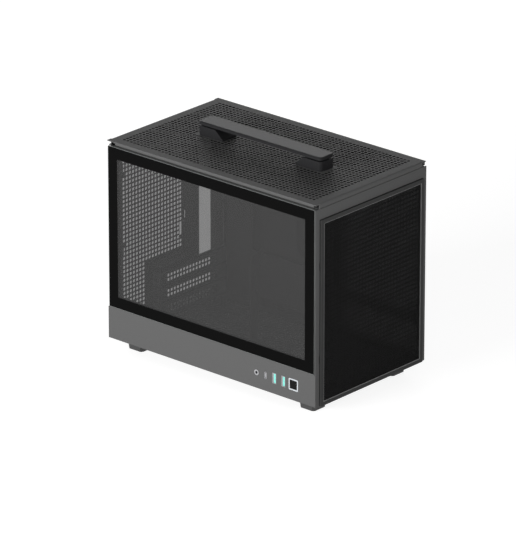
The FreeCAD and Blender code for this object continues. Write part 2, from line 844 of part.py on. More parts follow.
def make_top_cover():
    """Perforated top cover: short skirts at its ends and two long skirts set in from its sides."""
    x, y = cover_limits()
    half = cover_sheet / 2
    plate = box(x, y, (cover_high - cover_sheet, cover_high))
    section = folded([(x[0] + half, cover_low), (x[0] + half, cover_high - half),
                      (x[1] - half, cover_high - half), (x[1] - half, cover_low)], cover_sheet, bend)
    inner = skirt_side - cover_sheet - fit
    short = extruded(section, "xz", (-inner, inner))
    skirts = []
    ends = (x[0] + skirt_from_end, x[1] - skirt_from_end)
    low = cover_high - skirt_height
    outline = [(ends[0], low), (ends[1], low), (ends[1], cover_high - half), (ends[0], cover_high - half)]
    for span in ((-skirt_side, cover_sheet - skirt_side), (skirt_side - cover_sheet, skirt_side)):
        skirt = extruded(rounded_outline(outline, [skirt_corner, skirt_corner, 0, 0]), "xz", span)
        for end in (ends[0] + skirt_corner, ends[1] - skirt_corner):
            across = (span[0] - 1, span[1] + 1)
            hole = box(around(end, skirt_hole), across, around(low + skirt_corner, skirt_hole))
            skirt = skirt.cut(hole)
        skirts.append(skirt)
    blocked = []
    for centre in block_centres():
        blocked.append((centre, 0, block_length / 2, handle_width / 2))
    holed_x = (x[0] + cover_border, x[1] - cover_border)
    holed_y = (y[0] + cover_border, y[1] - cover_border)
    through = (cover_high - 2 * cover_sheet, cover_high + cover_sheet)
    field = hole_field(holed_x, holed_y, flat_pitch, flat_web, "xy", through, blocked)
    trimmed = plate.common(box((x[0] + sheet, x[1] - sheet), y, (cover_low, cover_high)))
    return fused(trimmed, short, *skirts).cut(field)


def block_centres():
    """X of the handle's two end blocks."""
    middle = (rear + front) / 2
    reach = (handle_length - block_length) / 2
    return (middle - reach, middle + reach)


def make_handle_block(centre):
    """Moulded block under one end of the handle, sloped towards the finger gap."""
    middle = (rear + front) / 2
    inward = 1 if centre < middle else -1
    outer = centre - inward * block_length / 2
    inner = centre + inward * block_length / 2
    top = cover_high + block_height
    profile = [(outer, cover_high), (inner, cover_high), (inner, cover_high + 2.0),
               (inner - inward * block_ramp, top), (outer, top)]
    body = extruded(rounded_outline(profile, [0] * 5), "xz", around(0, handle_width))
    side = handle_width / 2
    plan = [(outer, -side), (inner, -side), (inner, side), (outer, side)]
    radii = [handle_corner, 0, 0, handle_corner]
    body = body.common(extruded(rounded_outline(plan, radii), "xy", (cover_high, top)))
    neck_x = sorted((outer + inward * neck_margin, inner - inward * (block_ramp + neck_margin)))
    neck = box(neck_x, around(0, handle_width - 2 * neck_margin), (top - 1, top + handle_gap))
    return fused(body, neck)


def make_handle_bar():
    """Long flat bar with rounded ends, which the hand holds."""
    middle = (rear + front) / 2
    low = cover_high + block_height + handle_gap
    outline = rounded_rectangle(around(middle, handle_length), around(0, handle_width), handle_corner)
    bar = extruded(outline, "xy", (low, low + handle_bar_height))
    rim = [edge for edge in bar.Edges if abs(edge.BoundBox.ZMin - edge.BoundBox.ZMax) < 1e-6]
    upper = [edge for edge in rim if edge.BoundBox.ZMin > low + handle_bar_height / 2]
    return bar.makeChamfer(handle_edge, upper)


def make_handle_screws():
    """Two low six-sided screw heads under the cover at each handle block."""
    under = cover_high - cover_sheet
    places = [centre + side * block_length / 4 for centre in block_centres() for side in (-1, 1)]
    heads = [prism(x, 0, screw_head, "xy", (under - head_height / 2, under)) for x in places]
    return Part.makeCompound(heads)


def make_cover_catches():
    """Two small moulded catches inside the cover's corners on the closed side."""
    x, _ = cover_limits()
    solids = []
    y = skirt_side - cover_sheet
    for span in ((x[0] + cover_sheet, x[0] + cover_sheet + catch_size),
                 (x[1] - cover_sheet - catch_size, x[1] - cover_sheet)):
        low = (span[0], cover_high - cover_sheet)
        points = [low, (span[1], low[1]), (span[1], cover_low + sheet), (span[0], cover_low + sheet)]
        outline = rounded_outline(points, [0] * 4)
        solids.append(extruded(outline, "xz", (y + cover_sheet + fit, y + catch_depth)))
    return Part.makeCompound(solids)


def filter_frame(u, v, plane, span):
    """Rectangular frame of a filter, between two pairs of limits."""
    outer = extruded(rounded_rectangle(u, v, 1.0), plane, span)
    inner = rounded_rectangle((u[0] + filter_border, u[1] - filter_border),
                              (v[0] + filter_border, v[1] - filter_border), 0)
    return outer.cut(extruded(inner, plane, (span[0] - 1, span[1] + 1)))


def filter_gauze(u, v, plane, span):
    """Woven mesh that fills a filter's frame at half its thickness."""
    middle = (span[0] + span[1]) / 2
    inside = rounded_rectangle((u[0] + filter_border, u[1] - filter_border),
                               (v[0] + filter_border, v[1] - filter_border), 0)
    return extruded(inside, plane, around(middle, gauze))


def top_filter_box():
    """X, Y and Z limits of the top filter."""
    side = skirt_side - cover_sheet - fit - sheet
    low = body_high + fit
    x = (rear + top_filter_from_end, front - top_filter_from_end)
    return x, (-side, side), (low, low + filter_height)


def make_top_filter_frame():
    """Frame under the cover, with two hooks under each long side."""
    x, y, z = top_filter_box()
    frame = filter_frame(x, y, "xy", z)
    hooks = []
    for centre in (x[0] + (x[1] - x[0]) / 5, x[1] - (x[1] - x[0]) / 5):
        for side in ((y[0], y[0] + clip_thickness), (y[1] - clip_thickness, y[1])):
            hooks.append(box(around(centre, clip_length), side, (z[0] - clip_depth, z[0] + sheet)))
    return fused(frame, *hooks)


def front_filter_box():
    """Y, Z and X limits of the front filter."""
    y = (glass_side + front_filter_from_side, panel_side - front_filter_from_side)
    z = (above_body(front_filter_rise), body_high - front_filter_from_top)
    return y, z, (front, front + filter_height)


def make_front_filter_frame():
    """Frame on the front panel, with two hooks behind each upright side."""
    y, z, x = front_filter_box()
    frame = filter_frame(y, z, "yz", x)
    hooks = []
    for centre, height in front_clips():
        hooks.append(box((front - clip_depth, front + sheet), around(centre, clip_thickness),
                         around(height, clip_length)))
    return fused(frame, *hooks)


def bottom_filter_box():
    """X, Y and Z limits of the filter under the floor."""
    x = (rear + bottom_filter_from_end, front - bottom_filter_from_end)
    y = (glass_side + bottom_filter_from_side, panel_side - bottom_filter_from_side)
    return x, y, (body_low, body_low + filter_height)


def make_bottom_filter_gauze():
    """Mesh under the floor, with holes that the feet's bosses pass through."""
    x, y, z = bottom_filter_box()
    mesh = filter_gauze(x, y, "xy", z)
    holes = []
    for foot in foot_places().values():
        for a, b in boss_places(foot):
            holes.append(box(around(a, boss_size + 2 * fit), around(b, boss_size + 2 * fit), z))
    return mesh.cut(Part.makeCompound(holes))


def make_foot(foot):
    """Hollow moulded foot with two bosses that reach the floor panel and peg into it."""
    x, y = foot
    base = pad_height - pad_recess

    def ring(inset, height):
        half = foot_size / 2 - inset
        cut = half - foot_corner
        corners = [(half, -cut), (half, cut), (cut, half), (-cut, half),
                   (-half, cut), (-half, -cut), (-cut, -half), (cut, -half)]
        return [Vector(x + u, y + v, height) for u, v in corners]

    outside = tapered(ring(foot_taper, base), ring(0, body_low))
    inside = foot_size - 2 * (foot_wall + foot_taper)
    hollow = box(around(x, inside), around(y, inside), (base + foot_wall, body_low + 1))
    under = box(around(x, pad_size), around(y, pad_size), (base - 1, base + pad_recess))
    notch = box(around(x, boss_size), (y - foot_size, y - foot_size / 2 + foot_wall + foot_taper),
                (body_low - foot_wall, body_low + 1))
    foot_solid = outside.cut(hollow).cut(under).cut(notch)
    posts = []
    for a, b in boss_places(foot):
        boss = (base + foot_wall / 2 + pad_recess, floor_low)
        peg = (floor_low - 1, floor_high + peg_length)
        posts.append(box(around(a, boss_size), around(b, boss_size), boss))
        posts.append(box(around(a, peg_size), around(b, peg_size), peg))
    return fused(foot_solid, *posts)


def make_foot_pads():
    """Four rubber pads let into the feet."""
    return Part.makeCompound([box(around(x, pad_size - fit), around(y, pad_size - fit), (0, pad_height))
                              for x, y in foot_places().values()])


def make_io_board():
    """Circuit board that carries the ports and the power switch."""
    return box((from_rear(board_rear), from_rear(board_front)), (board_face, board_face + board_thickness),
               around(port_z, board_height))


def make_board_posts():
    """Four spacers between the strip and the port board."""
    solids = []
    for x in (from_rear(board_rear) + post_size, from_rear(board_front) - post_size):
        for z in (port_z - board_height / 2 + post_size / 2, port_z + board_height / 2 - post_size / 2):
            solids.append(box(around(x, post_size), (glass_side + sheet, board_face), around(z, post_size)))
    return Part.makeCompound(solids)


def make_audio_jack():
    """Round headset socket."""
    start = Vector(from_rear(audio_place), glass_side, port_z)
    body = rod(start, Vector(0, 1, 0), audio_size, board_face - glass_side)
    bore = rod(start, Vector(0, 1, 0), audio_bore, board_depth - 1)
    return body.cut(bore)


def socket_shell(x, width, length, radius):
    """Metal shell of a socket with its tongue, open towards the glass side."""
    outline = rounded_rectangle(around(x, width), around(port_z, length), radius)
    clear_x = around(x, width - 2 * port_wall)
    clear_z = around(port_z, length - 2 * port_wall)
    inner = rounded_rectangle(clear_x, clear_z, max(radius - port_wall, 0))
    outer = extruded(outline, "xz", (glass_side, board_face))
    return outer.cut(extruded(inner, "xz", (glass_side - 1, board_face - port_wall)))


def make_usb_c():
    """USB-C socket with its centre tongue."""
    x = from_rear(usb_c_place)
    shell = socket_shell(x, usb_c_width, usb_c_length, usb_c_width / 2.2)
    tongue = box(around(x, port_wall), (glass_side + 1.2, board_face - port_wall / 2),
                 around(port_z, usb_c_length * 0.66))
    return fused(shell, tongue)


def make_usb_a(x):
    """USB-A socket shell."""
    return socket_shell(x, usb_a_width, usb_a_length, 0)


def make_usb_tongue(x):
    """Coloured tongue inside a USB-A socket."""
    left = x - usb_a_width / 2 + port_wall
    return box((left, left + tongue_thickness), (glass_side + 1.0, board_face - port_wall),
               around(port_z, usb_a_length - 2 * port_wall - 2 * fit))


def make_power_ring():
    """Clear ring round the power button, which carries the power light."""
    x = from_rear(button_place)
    inner_size = ring_size - 2 * ring_wall
    outline = rounded_rectangle(around(x, ring_size), around(port_z, ring_size), 1.2)
    inner = rounded_rectangle(around(x, inner_size), around(port_z, inner_size), 0)
    outer = extruded(outline, "xz", (glass_side, board_face))
    return outer.cut(extruded(inner, "xz", (glass_side - 1, board_face + 1)))


def make_power_button():
    """Square power button that slides in its ring."""
    x = from_rear(button_place)
    size = ring_size - 2 * ring_wall - 2 * fit
    outline = rounded_rectangle(around(x, size), around(port_z, size), 0)
    return extruded(outline, "xz", (glass_side, glass_side + button_depth))


def make_power_switch():
    """Switch on the port board behind the power button."""
    x = from_rear(button_place)
    start = glass_side + button_depth + button_travel + fit
    return box(around(x, switch_size), (start, board_face), around(port_z, switch_size))


def make_slot_screws():
    """Three six-sided screw heads that hold the slot covers' tabs to the recess."""
    y = recess_left - sheet
    x = recess_plane + sheet - tab_depth / 2
    return Part.makeCompound([prism(x, z, screw_head, "xz", (y - head_height, y)) for z in slot_centres()])


def make_support_screws():
    """Two six-sided screw heads on the card bracket's base."""
    x = from_rear(support_rear) + support_sheet + bend + (support_foot - support_sheet - bend) / 2
    top = floor_high + support_sheet
    return Part.makeCompound([prism(x, support_side + share * support_base, screw_head, "xy",
                                      (top, top + head_height)) for share in (0.55, 0.85)])


def all_nodes():
    """Every piece of the case, by name."""
    nodes = {
        "floor_panel": make_floor_panel(),
        "rear_wall": make_rear_wall(),
        "io_slot_bracket": make_io_slot_bracket(),
        "slot_cover_screws": make_slot_screws(),
        "front_panel": make_front_panel(),
        "io_strip": make_io_strip(),
        "motherboard_tray": make_motherboard_tray(),
        "tray_bar": make_tray_bar(),
        "motherboard_standoffs": make_standoffs(),
        "top_rail": make_top_rail(),
        "drive_plate": make_drive_plate(),
        "card_support_bracket": make_card_support(),
        "card_support_screws": make_support_screws(),
        "glass_panel": make_glass_panel(),
        "glass_studs": make_glass_studs(),
        "glass_stud_sockets": make_stud_sockets(),
        "side_panel": make_side_panel(),
        "side_panel_tabs": make_side_panel_tabs(),
        "top_cover": make_top_cover(),
        "handle_bar": make_handle_bar(),
        "handle_screws": make_handle_screws(),
        "cover_catches": make_cover_catches(),
        "top_filter_frame": make_top_filter_frame(),
        "front_filter_frame": make_front_filter_frame(),
        "foot_pads": make_foot_pads(),
        "io_board": make_io_board(),
        "io_board_posts": make_board_posts(),
        "audio_jack": make_audio_jack(),
        "usb_c_port": make_usb_c(),
        "power_ring": make_power_ring(),
        "power_button": make_power_button(),
        "power_switch": make_power_switch(),
    }
    for number, z in enumerate(slot_centres(), 1):
        nodes["slot_cover_%d" % number] = make_slot_cover(z)
    for name, centre in zip(("rear", "front"), block_centres()):
        nodes["handle_block_" + name] = make_handle_block(centre)
    for name, x in zip(("rear", "front"), usb_a_places()):
        nodes["usb_a_port_" + name] = make_usb_a(x)
        nodes["usb_a_tongue_" + name] = make_usb_tongue(x)
    for name, place in foot_places().items():
        nodes["foot_" + name] = make_foot(place)
    x, y, z = top_filter_box()
    nodes["top_filter_mesh"] = filter_gauze(x, y, "xy", z)
    y, z, x = front_filter_box()
    nodes["front_filter_mesh"] = filter_gauze(y, z, "yz", x)
    x, y, z = bottom_filter_box()
    nodes["bottom_filter_frame"] = filter_frame(x, y, "xy", z)
    nodes["bottom_filter_mesh"] = make_bottom_filter_gauze()
    return nodes


os.makedirs("parts", exist_ok=True)
for node, shape in all_nodes().items():
    solids = shape.Solids
    whole = solids[0] if len(solids) == 1 else Part.makeCompound(solids)
    whole.exportStep(os.path.join("parts", node + ".step"))
    print(node, len(solids), round(whole.Volume / 1000, 2))
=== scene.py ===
"""Mini ITX computer case: the finish laid over the solid model, in the order the case is put together.

Shapes are worked out in millimetres and go into the meshes in metres, as the frame's are.
"""

import math
from itertools import chain

import bmesh
import bpy
import numpy as np
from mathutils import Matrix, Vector
from mathutils.geometry import delaunay_2d_cdt


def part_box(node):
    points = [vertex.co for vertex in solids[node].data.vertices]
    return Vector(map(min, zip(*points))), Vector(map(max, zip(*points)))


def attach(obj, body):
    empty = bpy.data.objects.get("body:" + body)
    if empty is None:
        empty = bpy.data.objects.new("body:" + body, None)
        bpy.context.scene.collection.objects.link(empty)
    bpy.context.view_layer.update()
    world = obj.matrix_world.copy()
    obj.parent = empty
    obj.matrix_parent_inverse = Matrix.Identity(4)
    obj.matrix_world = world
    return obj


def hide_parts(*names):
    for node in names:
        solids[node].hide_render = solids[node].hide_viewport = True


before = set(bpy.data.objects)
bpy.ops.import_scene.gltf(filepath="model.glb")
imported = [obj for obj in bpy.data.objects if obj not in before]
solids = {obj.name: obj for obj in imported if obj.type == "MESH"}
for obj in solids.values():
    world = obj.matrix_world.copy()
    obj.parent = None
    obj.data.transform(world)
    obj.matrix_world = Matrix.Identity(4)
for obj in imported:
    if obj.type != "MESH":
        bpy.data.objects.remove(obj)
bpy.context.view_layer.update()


# Desk and studio: a plain white desk in a white room, whose own light is soft
# and low. A large lamp lights the glass side, a small one the front and a wide
# one the back. The camera stands far off, at the photograph's angle.
def linear(colour):
    """Linear RGBA of an sRGB hex colour: c / 12.92 where c is small, else ((c + 0.055) / 1.055) ^ 2.4."""
    channels = np.array([int(colour[i:i + 2], 16) / 255 for i in (1, 3, 5)])
    bright = np.where(channels <= 0.04045, channels / 12.92, ((channels + 0.055) / 1.055) ** 2.4)
    return (*bright, 1.0)


def add(tree, kind, inputs=None, **settings):
    """Adds one node with its settings, and sets or links its inputs by name or number."""
    made = tree.nodes.new("ShaderNode" + kind)
    for key, value in settings.items():
        setattr(made, key, value)
    for key, value in (inputs or {}).items():
        if isinstance(value, bpy.types.NodeSocket):
            tree.links.new(value, made.inputs[key])
        else:
            made.inputs[key].default_value = value
    return made


def shows_background(tree):
    """1 for a ray from the camera, a mirror or a clear piece, which sees the background, and 0 for others."""
    rays = add(tree, "LightPath")
    bent = {0: rays.outputs["Is Glossy Ray"], 1: rays.outputs["Is Transmission Ray"]}
    mirrored = add(tree, "Math", bent, operation="MAXIMUM")
    seen = {0: rays.outputs["Is Camera Ray"], 1: mirrored.outputs[0]}
    return add(tree, "Math", seen, operation="MAXIMUM").outputs[0]


bpy.context.scene.view_settings.view_transform = "Standard"
white = linear("#FFFFFF")
room_light = 0.14
room = bpy.data.worlds.new("white_room")
bpy.context.scene.world = room
room.use_nodes = True
room_tree = room.node_tree
room_tree.nodes.clear()
glow = add(room_tree, "MapRange", {"Value": shows_background(room_tree), "To Min": room_light, "To Max": 1.0})
sky = add(room_tree, "Background", {"Color": white, "Strength": glow.outputs[0]})
add(room_tree, "OutputWorld", {"Surface": sky.outputs[0]})

# White painted desk: matt, so it keeps the case's soft shadow, and lifted to
# white where the background is seen.
desk_reach, desk_lift = 9, 0.84
desk_mesh = bpy.data.meshes.new("desk")
desk_corners = [(-desk_reach, -desk_reach, 0), (desk_reach, -desk_reach, 0),
                (desk_reach, desk_reach, 0), (-desk_reach, desk_reach, 0)]
desk_mesh.from_pydata(desk_corners, [], [(0, 1, 2, 3)])
desk = bpy.data.objects.new("desk", desk_mesh)
bpy.context.scene.collection.objects.link(desk)
desk_paint = bpy.data.materials.new("white_desk")
desk_paint.use_nodes = True
desk_tree = desk_paint.node_tree
desk_tree.nodes.clear()
lift = add(desk_tree, "Math", {0: shows_background(desk_tree), 1: desk_lift}, operation="MULTIPLY")
paint = add(desk_tree, "BsdfDiffuse", {"Color": linear("#9C9C9C")})
shine = add(desk_tree, "Emission", {"Color": white, "Strength": lift.outputs[0]})
both = add(desk_tree, "AddShader", {0: paint.outputs[0], 1: shine.outputs[0]})
add(desk_tree, "OutputMaterial", {"Surface": both.outputs[0]})
desk_mesh.materials.append(desk_paint)

# Each lamp: its name, its place in metres, its watts and its width in metres.
lamps = (("glass_side_lamp", (-0.4, -2.35, 0.42), 100, 1.2),
         ("front_lamp", (1.0, -0.2, 0.3), 5.0, 0.4),
         ("back_lamp", (-1.7, 1.9, 0.4), 45, 1.6))
lit_point = Vector((0, 0, 0.12))
for name, place, watts, width in lamps:
    lamp_data = bpy.data.lights.new(name, "AREA")
    lamp_data.energy = watts
    lamp_data.size = width
    lamp = bpy.data.objects.new(name, lamp_data)
    lamp.location = place
    lamp.rotation_mode = "QUATERNION"
    lamp.rotation_quaternion = (lit_point - Vector(place)).to_track_quat("-Z", "Y")
    bpy.context.scene.collection.objects.link(lamp)

# The camera's turn and rise about the case, and its distances in metres: the
# case stands a little up and to the right in the photograph.
camera_turn, camera_rise = math.radians(41.62), math.radians(21.59)
camera_away, camera_left, camera_down = 6.952, 0.00931, 0.04114
aimed_at = Vector((-0.0015, 0, 0.16345))
backwards = Vector((math.sin(camera_turn) * math.cos(camera_rise),
                    -math.cos(camera_turn) * math.cos(camera_rise), math.sin(camera_rise)))
sideways = Vector((math.cos(camera_turn), math.sin(camera_turn), 0))
upwards = backwards.cross(sideways)
camera_data = bpy.data.cameras.new("camera")
camera_data.lens = 387.8
camera_data.sensor_width = 36
camera_data.clip_end = 60
camera = bpy.data.objects.new("camera", camera_data)
camera.location = aimed_at + backwards * camera_away - sideways * camera_left - upwards * camera_down
camera.rotation_mode = "QUATERNION"
camera.rotation_quaternion = (-backwards).to_track_quat("-Z", "Y")
bpy.context.scene.collection.objects.link(camera)
bpy.context.scene.camera = camera


# Floor of the case: one sheet of 0.8 mm steel, punched with rows of round holes
# and folded up on all four sides. Plain metal is left round the pegs of the feet,
# and a small tab stands up at the closed side. Powder coated black like the other sheets, and drawn darker as
# painted shade.
MM = 0.001
ACROSS = {"xy": (0, 1, 2), "xz": (0, 2, 1), "yz": (1, 2, 0)}


def new_finish(name, colour, roughness, metallic=0.0, grain=0.0, grain_depth=0.0, mottle=0.0, **others):
    """Principled finish. Noise with a grain of a real size in mm lifts the surface by up to 0.4 of a grain
    times grain_depth, and makes the colour darker and lighter by the share mottle."""
    finish = bpy.data.materials.new(name)
    finish.use_nodes = True
    tree = finish.node_tree
    tree.nodes.clear()
    sockets = {"Base Color": linear(colour), "Roughness": roughness, "Metallic": metallic, **others}
    shader = add(tree, "BsdfPrincipled", sockets)
    add(tree, "OutputMaterial", {"Surface": shader.outputs[0]})
    if grain:
        place = add(tree, "TexCoord").outputs["Object"]
        grit = add(tree, "TexNoise", {"Vector": place, "Scale": 1 / (grain * MM), "Detail": 2.0}).outputs["Fac"]
        bump = add(tree, "Bump", {"Height": grit, "Strength": grain_depth, "Distance": grain * MM * 0.4})
        tree.links.new(bump.outputs[0], shader.inputs["Normal"])
        if mottle:
            plain = np.array(linear(colour)[:3])
            shades = {0: grit, 6: (*(plain * (1 - mottle)), 1.0), 7: (*(plain * (1 + mottle)), 1.0)}
            blend = add(tree, "Mix", shades, data_type="RGBA")
            tree.links.new(blend.outputs[2], shader.inputs["Base Color"])
    return finish


def limits(name):
    """Lowest and highest corner of a solid of the frame, in mm."""
    low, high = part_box(name)
    return np.array(low) / MM, np.array(high) / MM


def rectangle(u, v):
    """Corners of a rectangle between two pairs of limits."""
    return np.array([(u[0], v[0]), (u[1], v[0]), (u[1], v[1]), (u[0], v[1])])


def ring(centres, offsets):
    """Closed rings about many centres: each centre plus the same offsets, as an array (rings, points, 2)."""
    return np.asarray(centres, float)[:, None, :] + np.asarray(offsets, float)[None, :, :]


def round_hole(diameter, count=8):
    """Offsets of a round hole: radius times the cosine and sine of equal steps of angle."""
    angle = (np.arange(count) + 0.5) * 2 * math.pi / count
    return diameter / 2 * np.column_stack([np.cos(angle), np.sin(angle)])


def square_hole(width, height, cut):
    """Offsets of a rectangle whose four corners are cut off by a short straight edge."""
    a, b = width / 2, height / 2
    return np.array([(a, cut - b), (a, b - cut), (a - cut, b), (cut - a, b),
                     (-a, b - cut), (-a, cut - b), (cut - a, -b), (a - cut, -b)])


def lattice(u, v, pitch, staggered=False):
    """Centres in rows, in the middle of a rectangle: even steps both ways, or, when staggered, rows closer by
    the square root of 3/4, which stand a quarter of a step to one side and to the other in turn."""
    row_step = pitch * (math.sqrt(3) / 2 if staggered else 1)
    columns = int((u[1] - u[0]) / pitch) + 1
    rows = int((v[1] - v[0]) / row_step) + 1
    along = (u[0] + u[1] - (columns - 1) * pitch) / 2 + np.arange(columns) * pitch
    up = (v[0] + v[1] - (rows - 1) * row_step) / 2 + np.arange(rows) * row_step
    grid_u, grid_v = np.meshgrid(along, up)
    if staggered:
        grid_u = grid_u + pitch / 4 * np.where(np.arange(rows) % 2, 1, -1)[:, None]
    return np.column_stack([grid_u.ravel(), grid_v.ravel()])


def outside(centres, boxes):
    """The centres that lie in none of the boxes (u low, u high, v low, v high)."""
    u, v = centres.T
    kept = np.ones(len(centres), bool)
    for low_u, high_u, low_v, high_v in boxes:
        kept &= ~((u > low_u) & (u < high_u) & (v > low_v) & (v < high_v))
    return centres[kept]


def within(points, corners):
    """Even-odd rule: a point is inside a closed outline if a line from it crosses its edges an odd number of
    times. The crossing's place is the edge's start plus its share of the edge's run."""
    low, high = corners, np.roll(corners, -1, axis=0)
    rise = np.where(high[:, 1] == low[:, 1], 1.0, high[:, 1] - low[:, 1])
    across, up = points[:, :1], points[:, 1:]
    spans = (low[:, 1] > up) != (high[:, 1] > up)
    crossing = low[:, 0] + (up - low[:, 1]) * (high[:, 0] - low[:, 0]) / rise
    return (spans & (across < crossing)).sum(axis=1) % 2 == 1


def punched(outline, holes, plane, levels, openings=()):
    """Flat sheet with holes: the outline, the holes' rings and the openings' outlines are joined by a
    constrained Delaunay triangulation, the triangles inside holes or openings and outside the outline are
    dropped, and the rest is drawn at two levels with a wall along every edge. Returns the points, the
    triangles and walls, and how many of the last walls are those of small holes."""
    rings = [np.asarray(outline, float), *chain(*holes), *(np.asarray(opening, float) for opening in openings)]
    first_opening = len(rings) - len(openings)
    flat = np.vstack(rings)
    counts = np.array([len(corners) for corners in rings])
    owner = np.repeat(np.arange(len(rings)), counts)
    first = np.cumsum(counts) - counts
    here = np.arange(len(flat))
    after = np.where(here == (first + counts - 1)[owner], first[owner], here + 1)
    joined = delaunay_2d_cdt(flat.tolist(), np.column_stack([here, after]).tolist(), [], 0, 1e-6)
    corners, triangles = np.array(joined[0]), np.array(joined[2])

    # A corner belongs to the ring it came from, and to none where two rings cross.
    sources = np.fromiter(map(len, joined[3]), int)
    first_source = (np.cumsum(sources) - sources)[sources > 0]
    group = np.full(len(corners), -1)
    group[sources > 0] = owner[np.fromiter(chain.from_iterable(joined[3]), int)[first_source]]

    groups = group[triangles]
    dropped = (groups[:, 0] == groups[:, 1]) & (groups[:, 1] == groups[:, 2]) & (groups[:, 0] > 0)
    dropped &= groups[:, 0] < first_opening
    middle = corners[triangles].mean(axis=1)
    for opening in rings[first_opening:]:
        dropped |= within(middle, opening)
    triangles = triangles[~dropped & within(middle, rings[0])]

    sides = np.vstack([triangles[:, [0, 1]], triangles[:, [1, 2]], triangles[:, [2, 0]]])
    _, index, times = np.unique(np.sort(sides, axis=1), axis=0, return_index=True, return_counts=True)
    rim = sides[index[times == 1]]
    small = (group[rim[:, 0]] > 0) & (group[rim[:, 0]] < first_opening)
    rim = np.vstack([rim[~small], rim[small]])

    u, v, w = ACROSS[plane]
    count = len(corners)
    points = np.zeros((2 * count, 3))
    points[:, u], points[:, v] = np.tile(corners, (2, 1)).T
    points[:count, w], points[count:, w] = max(levels), min(levels)
    walls = np.column_stack([rim[:, 1], rim[:, 0], rim[:, 0] + count, rim[:, 1] + count])
    way = -1 if plane == "xz" else 1
    return points, (triangles[:, ::way], triangles[:, ::-way] + count, walls[:, ::way]), int(small.sum())


def fold(path, plane, span, thickness=0.8, radius=0.8, steps=4):
    """Folded strip: the middle line of the sheet, with an arc at each fold, moved half a thickness to either
    side along its normal and carried straight from one level to the other. Returns the same as punched."""
    path = np.asarray(path, float)
    middle = [path[0]]
    for before, corner, beyond in zip(path, path[1:], path[2:]):
        inward, outward = corner - before, beyond - corner
        inward, outward = inward / np.linalg.norm(inward), outward / np.linalg.norm(outward)
        turn = math.atan2(inward[0] * outward[1] - inward[1] * outward[0], inward @ outward)
        bend = radius + thickness / 2
        reach = bend * abs(math.tan(turn / 2))
        side = math.copysign(1, turn)
        centre = corner - inward * reach + side * bend * np.array([-inward[1], inward[0]])
        spokes = math.atan2(-side * inward[0], side * inward[1]) + np.linspace(0, turn, steps + 1)
        middle.extend(centre + bend * np.column_stack([np.cos(spokes), np.sin(spokes)]))
    middle.append(path[-1])
    middle = np.array(middle)
    along = np.gradient(middle, axis=0)
    along /= np.linalg.norm(along, axis=1)[:, None]
    normal = np.column_stack([-along[:, 1], along[:, 0]]) * thickness / 2
    section = np.vstack([middle + normal, (middle - normal)[::-1]])
    u, v, w = ACROSS[plane]
    count = len(section)
    points = np.zeros((2 * count, 3))
    points[:, u], points[:, v] = np.tile(section, (2, 1)).T
    points[:count, w], points[count:, w] = span
    here = np.arange(count)
    after = (here + 1) % count
    step = np.arange(count // 2 - 1)
    end = np.column_stack([step, step + 1, count - 2 - step, count - 1 - step])
    return points, (np.column_stack([here, after, after + count, here + count]), end, end[:, ::-1] + count), 0


def point_outwards(mesh):
    """Turns every closed shell of a mesh so that its faces point away from its inside."""
    work = bmesh.new()
    work.from_mesh(mesh)
    bmesh.ops.recalc_face_normals(work, faces=work.faces)
    work.to_mesh(mesh)
    work.free()


def make_piece(name, parts, body, finish, slot, *replaced):
    """Joins parts made by punched and fold into one object that rides on a body of the frame. The walls of
    its small holes get the painted shade coat, drawn near black since no light reaches into them."""
    points, faces, coats, count = [], [], [], 0
    for part_points, blocks, small_walls in parts:
        points.append(part_points)
        for block in blocks:
            faces += (block + count).tolist()
        coats += [0] * (len(faces) - len(coats) - small_walls) + [1] * small_walls
        count += len(part_points)
    mesh = bpy.data.meshes.new(name)
    mesh.from_pydata((np.vstack(points) * MM).tolist(), [], faces)
    mesh.materials.append(finish)
    if any(coats):
        mesh.materials.append(painted_shade_coat)
        mesh.polygons.foreach_set("material_index", coats)
    mesh.update()
    made = bpy.data.objects.new(name, mesh)
    bpy.context.scene.collection.objects.link(made)
    point_outwards(mesh)
    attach(made, body)
    if replaced:
        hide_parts(*replaced)


# Painted shade: the charcoal powder coat drawn as a dull near-black with a faint grain of half
# a millimetre, for sheets and hole walls that lie deep in the case, where shade falls.
painted_shade_coat = new_finish("painted_shade_black_coat", "#282828", 0.55, grain=0.6, grain_depth=0.2, mottle=0.15,
                        **{"Specular IOR Level": 0.03})

# All sheets but the cover's are this thick, and the holes in the floor, the
# walls and the cover stand one pitch apart. Two pegs of each foot come through.
sheet, pitch = 0.8, 5.7
half = sheet / 2
foot_x, foot_y, peg_step = (-140.25, 137.25), (-72.3, 72.3), 6.5
peg_hole, peg_hole_cut, plain = 3.9, 0.3, 5
field_x, field_y = (-150, 148), (-84, 83)
edge_inset, edge_overlap, edge_height = 1.6, 1.7, 6.5
low, high = limits("floor_panel")
floor_z = (low[2], low[2] + sheet)
middle = floor_z[0] + half
edge_top = floor_z[0] + edge_height
pegs = [(x + side * peg_step, y + side * peg_step) for x in foot_x for y in foot_y for side in (-1, 1)]
peg_boxes = [(x - plain, x + plain, y - plain, y + plain) for x, y in pegs]
round_vent = round_hole(4.2)
floor_holes = ring(outside(lattice(field_x, field_y, pitch), peg_boxes), round_vent)
peg_holes = ring(pegs, square_hole(peg_hole, peg_hole, peg_hole_cut))
flat_x, flat_y = (low[0] + edge_inset, high[0] - edge_inset), (low[1] + edge_inset, high[1] - edge_inset)
floor_parts = [punched(rectangle(flat_x, flat_y), [floor_holes, peg_holes], "xy", floor_z)]
for y, inner, upper in ((low[1] + half, low[1] + edge_overlap, edge_top),
                        (high[1] - half, high[1] - edge_overlap, high[2])):
    floor_parts.append(fold([(y, upper), (y, middle), (inner, middle)], "yz", flat_x))
between = (low[1] + 2 * edge_inset, high[1] - 2 * edge_inset)
for x, inner in ((low[0] + half, low[0] + edge_overlap), (high[0] - half, high[0] - edge_overlap)):
    floor_parts.append(fold([(x, edge_top), (x, middle), (inner, middle)], "xz", between))
small_tab = rectangle((-92, -68), (high[2] - 6, high[2] + 3))
